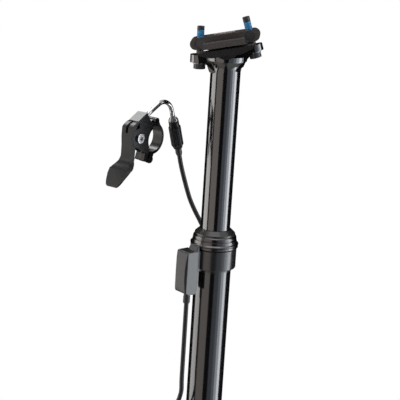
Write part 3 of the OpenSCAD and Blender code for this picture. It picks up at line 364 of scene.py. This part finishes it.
wires.new(given.outputs["Crest"], crest.inputs["Radius"])
wires.new(helix.outputs["Curve"], ridge.inputs["Curve"])
wires.new(crest.outputs["Curve"], ridge.inputs["Profile Curve"])
wires.new(ridge.outputs["Mesh"], painted.inputs["Geometry"])
wires.new(given.outputs["Finish"], painted.inputs["Material"])
wires.new(painted.outputs["Geometry"], handed.inputs["Thread"])


def threaded(name, place, start, length, crest_radius, surface, body):
    """A rolled thread on a bolt: place is the bolt's frame, and start the thread's lower end along it."""
    piece = bpy.data.objects.new(name, bpy.data.meshes.new(name))
    bpy.context.collection.objects.link(piece)
    maker = piece.modifiers.new("thread", "NODES")
    maker.node_group = thread_maker
    maker[thread_inputs["Turns"]] = length / bolt_pitch
    maker[thread_inputs["Pitch"]] = bolt_pitch
    maker[thread_inputs["Radius"]] = bolt_radius + thread_proud - crest_radius
    maker[thread_inputs["Crest"]] = crest_radius
    maker[thread_inputs["Finish"]] = surface
    graph = bpy.context.evaluated_depsgraph_get()
    baked = bpy.data.meshes.new_from_object(piece.evaluated_get(graph))
    piece.modifiers.clear()
    baked.transform(place @ Matrix.Translation((0, 0, start)))
    baked.shade_smooth()
    piece.data = baked
    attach(piece, body)


for name, node, seat, lean, patch, tip in (
    ("front", "front_bolt", (-0.0254, 0, -0.0116), 11.3, (0.0205, 0.0268), 0.0301),
    ("rear", "rear_bolt", (0.0213, 0, -0.0095), -5.4, (0.0185, 0.0254), 0.0297),
):
    dressed(node, "upper_post", "bolt_steel", bolt_black, edge=0.0003)
    bolt_place = head_place @ Matrix.Translation(seat) @ Matrix.Rotation(math.radians(lean), 4, "Y")
    threaded(name + "_lock_patch", bolt_place, patch[0], patch[1] - patch[0], patch_crest, lock_blue,
             "upper_post")
    threaded(name + "_thread", bolt_place, patch[1] + thread_gap, tip - patch[1] - 2 * thread_gap, thread_crest,
             bolt_black, "upper_post")
washer_steel = finish("washer_steel", (0.25, 0.25, 0.26), 0.3, metallic=1.0)
coat_piece(washer_steel, "bolt_washers")

# Saddle clamp: a forged lower cradle that rocks in the head's seat, and a yoke over the rails that two barrel
# nuts pull down. Satin black anodised. The faces of the pocket in the yoke's top are painted bright metal, a
# painted sheen. The edges round the rear nut stay sharp, because its bore meets the bolt's slot there.
rear_nut_centre = (0.018189, -0.003536, 0.204417)
rear_nut_reach = 0.0095
pocket_front, pocket_rear, pocket_half_width = -0.0101, 0.0076, 0.0046
pocket_floor, pocket_rim = 0.0069, 0.0093
clamp_black = finish("clamp_black", (0.045, 0.039, 0.037), 0.3, ior=1.6, mottle=0.4)
cradle_black = finish("cradle_black", (0.012, 0.011, 0.011), 0.26, ior=1.55, mottle=0.4)
dressed("lower_cradle", "saddle_clamp", "clamp_black", cradle_black, edge=0.00035, weld=0.00013)
yoke = dressed("upper_yoke", "saddle_clamp", "clamp_black", clamp_black, edge=0.0004, weld=0.00013,
               hub=rear_nut_centre, hub_radius=rear_nut_reach)
# The pocket's faces get a bright metal colour: a painted sheen.
yoke.data.materials.append(finish("pocket_painted_sheen", (0.5, 0.45, 0.45), 0.35, metallic=1.0, mottle=0.1))
for face in yoke.data.polygons:
    spot = head_place.inverted() @ face.center
    if (pocket_front < spot.x < pocket_rear and abs(spot.y) < pocket_half_width
            and pocket_floor < spot.z < pocket_rim):
        face.material_index = 1
nut_steel = finish("nut_steel", (0.16, 0.16, 0.165), 0.45, metallic=1.0, mottle=0.3)
coat_piece(nut_steel, "front_barrel_nut", "rear_barrel_nut")

# Remote bracket: forged and machined aluminium, black anodised, with a hinged band that closes round the bar.
# A steel pin and one socket screw hold the band, and a steel screw carries the lever.
bracket_black = finish("bracket_black", (0.003, 0.003, 0.003), 0.3, ior=1.42, mottle=0.3)
dressed("remote_bracket", "outer_post", "remote_black", bracket_black, edge=0.00015)
dressed("clamp_band", "outer_post", "remote_black", bracket_black, edge=0.0003)
screw_silver = finish("screw_silver", (0.66, 0.66, 0.66), 0.22, metallic=1.0, mottle=0.1)
coat_piece(bracket_black, "band_hinge_pin")
dressed("clamp_bolt", "outer_post", "bolt_steel", bolt_black, edge=0.0002)
dressed("lever_pivot_bolt", "outer_post", "bright_steel", screw_silver, edge=0.0003)

# Thumb lever: machined from bar and bead blasted to a dark satin grey before anodising, turning on brass bushes.
# The wire's nipple drops into a pocket in its head, and the wire runs out through a slot.
lever_pivot = (-0.073688, -0.005688, 0.1148)
lever_head_radius = 0.0126
lever_grey = finish("lever_grey", (0.006, 0.006, 0.006), 0.3, ior=1.35, mottle=0.3, grain=0.3)
dressed("thumb_lever", "remote_lever", "remote_black", lever_grey, edge=0.0005, weld=0.00005,
        hub=lever_pivot, hub_radius=lever_head_radius)
coat_piece(bright_steel, "remote_wire")

# Noodle and cup: a bent steel guide tube, chromed, with a turned cup that covers the adjuster's mouth.
# It is swept along its bend, from inside the bracket to inside the adjuster, and its straight leg is bored
# for the end of the wire.
noodle_chrome = finish("noodle_chrome", (0.5, 0.5, 0.51), 0.13, metallic=1.0, mottle=0.05)
noodle_place = (Matrix.Translation((-0.057, 0.011, 0.111)) @ Matrix.Rotation(math.radians(45.0), 4, "Z")
                @ Matrix.Translation((-0.00764, 0, 0.022034)) @ Matrix.Rotation(math.radians(-27.0), 4, "Y"))
noodle_leg, noodle_bend, noodle_turn, noodle_tail = 0.0148, 0.013, math.radians(98.0), 0.0126
noodle_radius, bore_radius, bore_end = 0.0019, 0.0012, 0.009
noodle_sides = 24
bend_steps = 24
sideways = Vector((0, 1, 0))
noodle_path = [Vector((-0.01, 0, 0)), Vector((0.004, 0, 0))]
for i in range(bend_steps + 1):
    angle = noodle_turn * i / bend_steps
    noodle_path.append(Vector((noodle_leg + noodle_bend * math.sin(angle), 0, noodle_bend * (math.cos(angle) - 1))))
noodle_path.append(noodle_path[-1] + noodle_tail * Vector((math.cos(noodle_turn), 0, -math.sin(noodle_turn))))
noodle_shape = bmesh.new()


def noodle_ring(centre, along, radius):
    """A ring of points round the noodle or its bore, square to the direction along."""
    across = along.cross(sideways)
    angles = [2 * math.pi * k / noodle_sides for k in range(noodle_sides)]
    return [noodle_shape.verts.new(noodle_place @ (centre + radius * (math.cos(a) * across + math.sin(a) * sideways)))
            for a in angles]


rings = []
for i, spot in enumerate(noodle_path):
    along = (noodle_path[min(i + 1, len(noodle_path) - 1)] - noodle_path[max(i - 1, 0)]).normalized()
    rings.append(noodle_ring(spot, along, noodle_radius))
for lower, upper in zip(rings, rings[1:]):
    for k in range(noodle_sides):
        n = (k + 1) % noodle_sides
        noodle_shape.faces.new((lower[k], lower[n], upper[n], upper[k])).smooth = True
bore = [noodle_ring(Vector((x, 0, 0)), Vector((1, 0, 0)), bore_radius) for x in (noodle_path[0].x, bore_end)]
for outside, inside in ((rings[0], bore[0]), (bore[0], bore[1])):
    for k in range(noodle_sides):
        n = (k + 1) % noodle_sides
        noodle_shape.faces.new((outside[k], inside[k], inside[n], outside[n]))
noodle_shape.faces.new(bore[1])
noodle_shape.faces.new(rings[-1])
bmesh.ops.recalc_face_normals(noodle_shape, faces=noodle_shape.faces)
noodle_mesh = bpy.data.meshes.new("bent_noodle")
noodle_shape.to_mesh(noodle_mesh)
noodle_shape.free()
noodle_mesh.materials.append(noodle_chrome)
noodle = bpy.data.objects.new("bent_noodle", noodle_mesh)
bpy.context.collection.objects.link(noodle)
keep(noodle, "outer_post", "bright_steel", "cable_noodle")
dressed("noodle_cup", "outer_post", "plain_aluminium", washer_steel, edge=0.00015)

# Adjuster: a turned black barrel with a ribbed grip, screwed over the noodle's end to take up slack in the wire.
# A plastic boot under it grips the housing.
grip_black = finish("grip_black", (0.003, 0.003, 0.0032), 0.3, ior=1.33)
dressed("adjuster_barrel", "adjuster", "remote_black", grip_black, edge=0.00012)
dressed("adjuster_boot", "outer_post", "pod_plastic", ferrule_black, edge=0.0001)

# Studio: a pale floor under the post, a white background, tall soft lamps at both sides, a soft lamp overhead
# and dark cards round the set, which keep the black edges of the tubes dark.
floor_half_width = 4.0
floor_gap = 0.012
floor_mesh = bpy.data.meshes.new("floor")
floor_shape = bmesh.new()
bmesh.ops.create_grid(floor_shape, x_segments=2, y_segments=2, size=floor_half_width)
bmesh.ops.translate(floor_shape, verts=floor_shape.verts, vec=(0, 0, cad_box[0].z - floor_gap))
floor_shape.to_mesh(floor_mesh)
floor_shape.free()
floor = bpy.data.objects.new("floor", floor_mesh)
bpy.context.collection.objects.link(floor)
floor_pale = bpy.data.materials.new("floor_pale")
floor_pale.use_nodes = True
floor_nodes, floor_links = floor_pale.node_tree.nodes, floor_pale.node_tree.links
floor_shader = floor_nodes["Principled BSDF"]
floor_shader.inputs["Base Color"].default_value = (0.82, 0.82, 0.82, 1.0)
floor_shader.inputs["Roughness"].default_value = 0.9
floor_path = floor_nodes.new("ShaderNodeLightPath")
floor_white = floor_nodes.new("ShaderNodeEmission")
floor_white.inputs["Color"].default_value = (1.0, 1.0, 1.0, 1.0)
floor_mix = floor_nodes.new("ShaderNodeMixShader")
floor_links.new(floor_path.outputs["Is Camera Ray"], floor_mix.inputs["Fac"])
floor_links.new(floor_shader.outputs["BSDF"], floor_mix.inputs[1])
floor_links.new(floor_white.outputs["Emission"], floor_mix.inputs[2])
floor_links.new(floor_mix.outputs["Shader"], floor_nodes["Material Output"].inputs["Surface"])
floor_mesh.materials.append(floor_pale)
floor.visible_glossy = False
floor.visible_shadow = False

studio = bpy.data.worlds.new("studio")
bpy.context.scene.world = studio
studio.use_nodes = True
sky_nodes, sky_links = studio.node_tree.nodes, studio.node_tree.links
fill = sky_nodes["Background"]
fill.inputs["Color"].default_value = (0.95, 0.97, 1.0, 1.0)
fill.inputs["Strength"].default_value = 0.45
backdrop = sky_nodes.new("ShaderNodeBackground")
backdrop.inputs["Color"].default_value = (1.0, 1.0, 1.0, 1.0)
backdrop.inputs["Strength"].default_value = 1.0
sky_path = sky_nodes.new("ShaderNodeLightPath")
seen = sky_nodes.new("ShaderNodeMath")
seen.operation = "MAXIMUM"
seen_through = sky_nodes.new("ShaderNodeMath")
seen_through.operation = "MAXIMUM"
sky_mix = sky_nodes.new("ShaderNodeMixShader")
sky_links.new(sky_path.outputs["Is Camera Ray"], seen.inputs[0])
sky_links.new(sky_path.outputs["Is Glossy Ray"], seen.inputs[1])
sky_links.new(seen.outputs[0], seen_through.inputs[0])
sky_links.new(sky_path.outputs["Is Transmission Ray"], seen_through.inputs[1])
sky_links.new(seen_through.outputs[0], sky_mix.inputs["Fac"])
sky_links.new(fill.outputs["Background"], sky_mix.inputs[1])
sky_links.new(backdrop.outputs["Background"], sky_mix.inputs[2])
sky_links.new(sky_mix.outputs["Shader"], sky_nodes["World Output"].inputs["Surface"])


def round_set(bearing, distance):
    """A point on the ground round the post: bearing 0 is towards the camera, positive to the camera's right."""
    angle = math.radians(bearing) + camera_azimuth - math.pi / 2
    return Vector((distance * math.cos(angle), distance * math.sin(angle), 0.0))


def soft_lamp(name, bearing, span, glow, colour, height=2.6, distance=1.5, lift=-0.1):
    """A tall soft lamp that spans some degrees as seen from the post, with a glow relative to white."""
    width = 2 * distance * math.tan(math.radians(span) / 2)
    lamp = bpy.data.lights.new(name, "AREA")
    lamp.shape = "RECTANGLE"
    lamp.size = width
    lamp.size_y = height
    lamp.energy = glow * math.pi * width * height
    lamp.color = colour
    made = bpy.data.objects.new(name, lamp)
    made.location = round_set(bearing, distance) + Vector((0, 0, lift))
    made.rotation_mode = "QUATERNION"
    inwards = round_set(bearing, 1.0) * -1
    made.rotation_quaternion = inwards.to_track_quat("-Z", "Y")
    made.visible_camera = False
    bpy.context.collection.objects.link(made)


soft_lamp("left_lamp", -93, 41, 2.4, (1.0, 0.97, 0.94))
soft_lamp("left_fill", -37.5, 47, 0.72, (1.0, 0.9, 0.84))
soft_lamp("right_fill", 38.5, 48, 0.35, (0.78, 0.87, 1.0))
soft_lamp("right_step", 52, 21, 0.4, (0.82, 0.89, 1.0), distance=1.55)
soft_lamp("right_lamp", 79, 38, 2.0, (0.9, 0.94, 1.0))
soft_lamp("right_edge", 88, 20, 2.4, (0.94, 0.96, 1.0), distance=1.45)
top_lamp = bpy.data.lights.new("top_lamp", "AREA")
top_lamp.shape = "DISK"
top_lamp.size = 1.2
top_lamp.energy = 1.2 * math.pi * math.pi * 0.6 ** 2
top = bpy.data.objects.new("top_lamp", top_lamp)
top.location = (-0.1, -0.3, 1.7)
top.visible_camera = False
bpy.context.collection.objects.link(top)
rim_lamp = bpy.data.lights.new("rim_lamp", "AREA")
rim_lamp.shape = "DISK"
rim_lamp.size = 0.7
rim_lamp.energy = 9.0 * math.pi * math.pi * 0.35 ** 2
rim = bpy.data.objects.new("rim_lamp", rim_lamp)
rim.location = (-0.48, 0.91, 1.37)
rim.rotation_mode = "QUATERNION"
rim.rotation_quaternion = (Vector((-0.05, 0.0, 0.12)) - rim.location).to_track_quat("-Z", "Y")
rim.visible_camera = False
bpy.context.collection.objects.link(rim)


def card(name, first, last, outer, inner, colour):
    """A card for reflections alone, from one bearing to another: outer and inner give distance and height."""
    panel_degrees = 6
    shape = bmesh.new()
    steps = round((last - first) / panel_degrees)
    for i in range(steps):
        left, right = (first + (last - first) * k / steps for k in (i, i + 1))
        corners = [round_set(bearing, distance) + Vector((0, 0, height)) for bearing, (distance, height) in (
            (left, outer), (right, outer), (right, inner), (left, inner))]
        shape.faces.new([shape.verts.new(c) for c in corners])
    bmesh.ops.remove_doubles(shape, verts=shape.verts, dist=1e-5)
    mesh = bpy.data.meshes.new(name)
    shape.to_mesh(mesh)
    shape.free()
    paint = bpy.data.materials.new(name)
    paint.use_nodes = True
    glow = paint.node_tree.nodes.new("ShaderNodeEmission")
    glow.inputs["Color"].default_value = (*colour, 1.0)
    paint.node_tree.links.new(glow.outputs["Emission"], paint.node_tree.nodes["Material Output"].inputs["Surface"])
    mesh.materials.append(paint)
    made = bpy.data.objects.new(name, mesh)
    bpy.context.collection.objects.link(made)
    made.visible_camera = False
    made.visible_diffuse = False
    made.visible_shadow = False


wall_top, wall_foot, table_middle = (3.0, 3.0), (3.0, -3.0), (0.05, -3.0)
card("dark_wall", -180, 180, wall_top, wall_foot, (0.004, 0.004, 0.004))
card("table_left", -180, -14, wall_foot, table_middle, (0.4, 0.375, 0.35))
card("table_near", -14, 14, wall_foot, table_middle, (0.01, 0.01, 0.01))
card("table_right", 14, 180, wall_foot, table_middle, (0.34, 0.37, 0.365))
